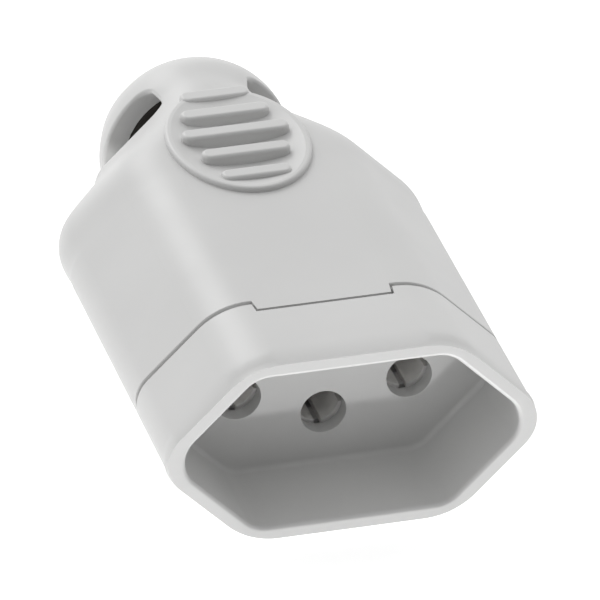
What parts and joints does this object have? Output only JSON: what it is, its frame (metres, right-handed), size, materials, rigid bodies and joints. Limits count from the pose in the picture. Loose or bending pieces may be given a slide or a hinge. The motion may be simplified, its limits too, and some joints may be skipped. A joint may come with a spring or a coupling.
{
  "type": "inline socket connector",
  "caption": "Rewirable inline cable socket with a long hexagonal recess, three round pin holes, ridged grip pads and a domed cable neck with side windows",
  "frame": {"origin": "on the ground under the middle of the connector, which lies on its broad face", "axes": "+Y along the connector's axis from the socket mouth to the cord entry, +X across its width, +Z through its thickness, up"},
  "size_m": [0.0414, 0.0714, 0.0237],
  "materials": {
    "front_plastic": "satin moulded light grey",
    "cover_plastic": "satin moulded light grey",
    "carrier_plastic": "moulded light grey, unpolished",
    "contact_brass": "turned brass",
    "spring_steel": "spring steel",
    "screw_steel": "zinc plated"
  },
  "bodies": {
    "root": {"socket_front": "front_plastic", "rear_cover": "cover_plastic", "terminal_carrier": "carrier_plastic", "cord_clamp_bar": "carrier_plastic", "live_contact": "contact_brass", "neutral_contact": "contact_brass", "earth_contact": "contact_brass", "live_spring_ring": "spring_steel", "neutral_spring_ring": "spring_steel", "earth_spring_ring": "spring_steel", "live_terminal_screw": "screw_steel", "neutral_terminal_screw": "screw_steel", "earth_terminal_screw": "screw_steel", "carrier_screw_left": "screw_steel", "carrier_screw_right": "screw_steel", "cord_clamp_screw_left": "screw_steel", "cord_clamp_screw_right": "screw_steel", "cord_clamp_nut_left": "screw_steel", "cord_clamp_nut_right": "screw_steel"}
  },
  "joints": []
}
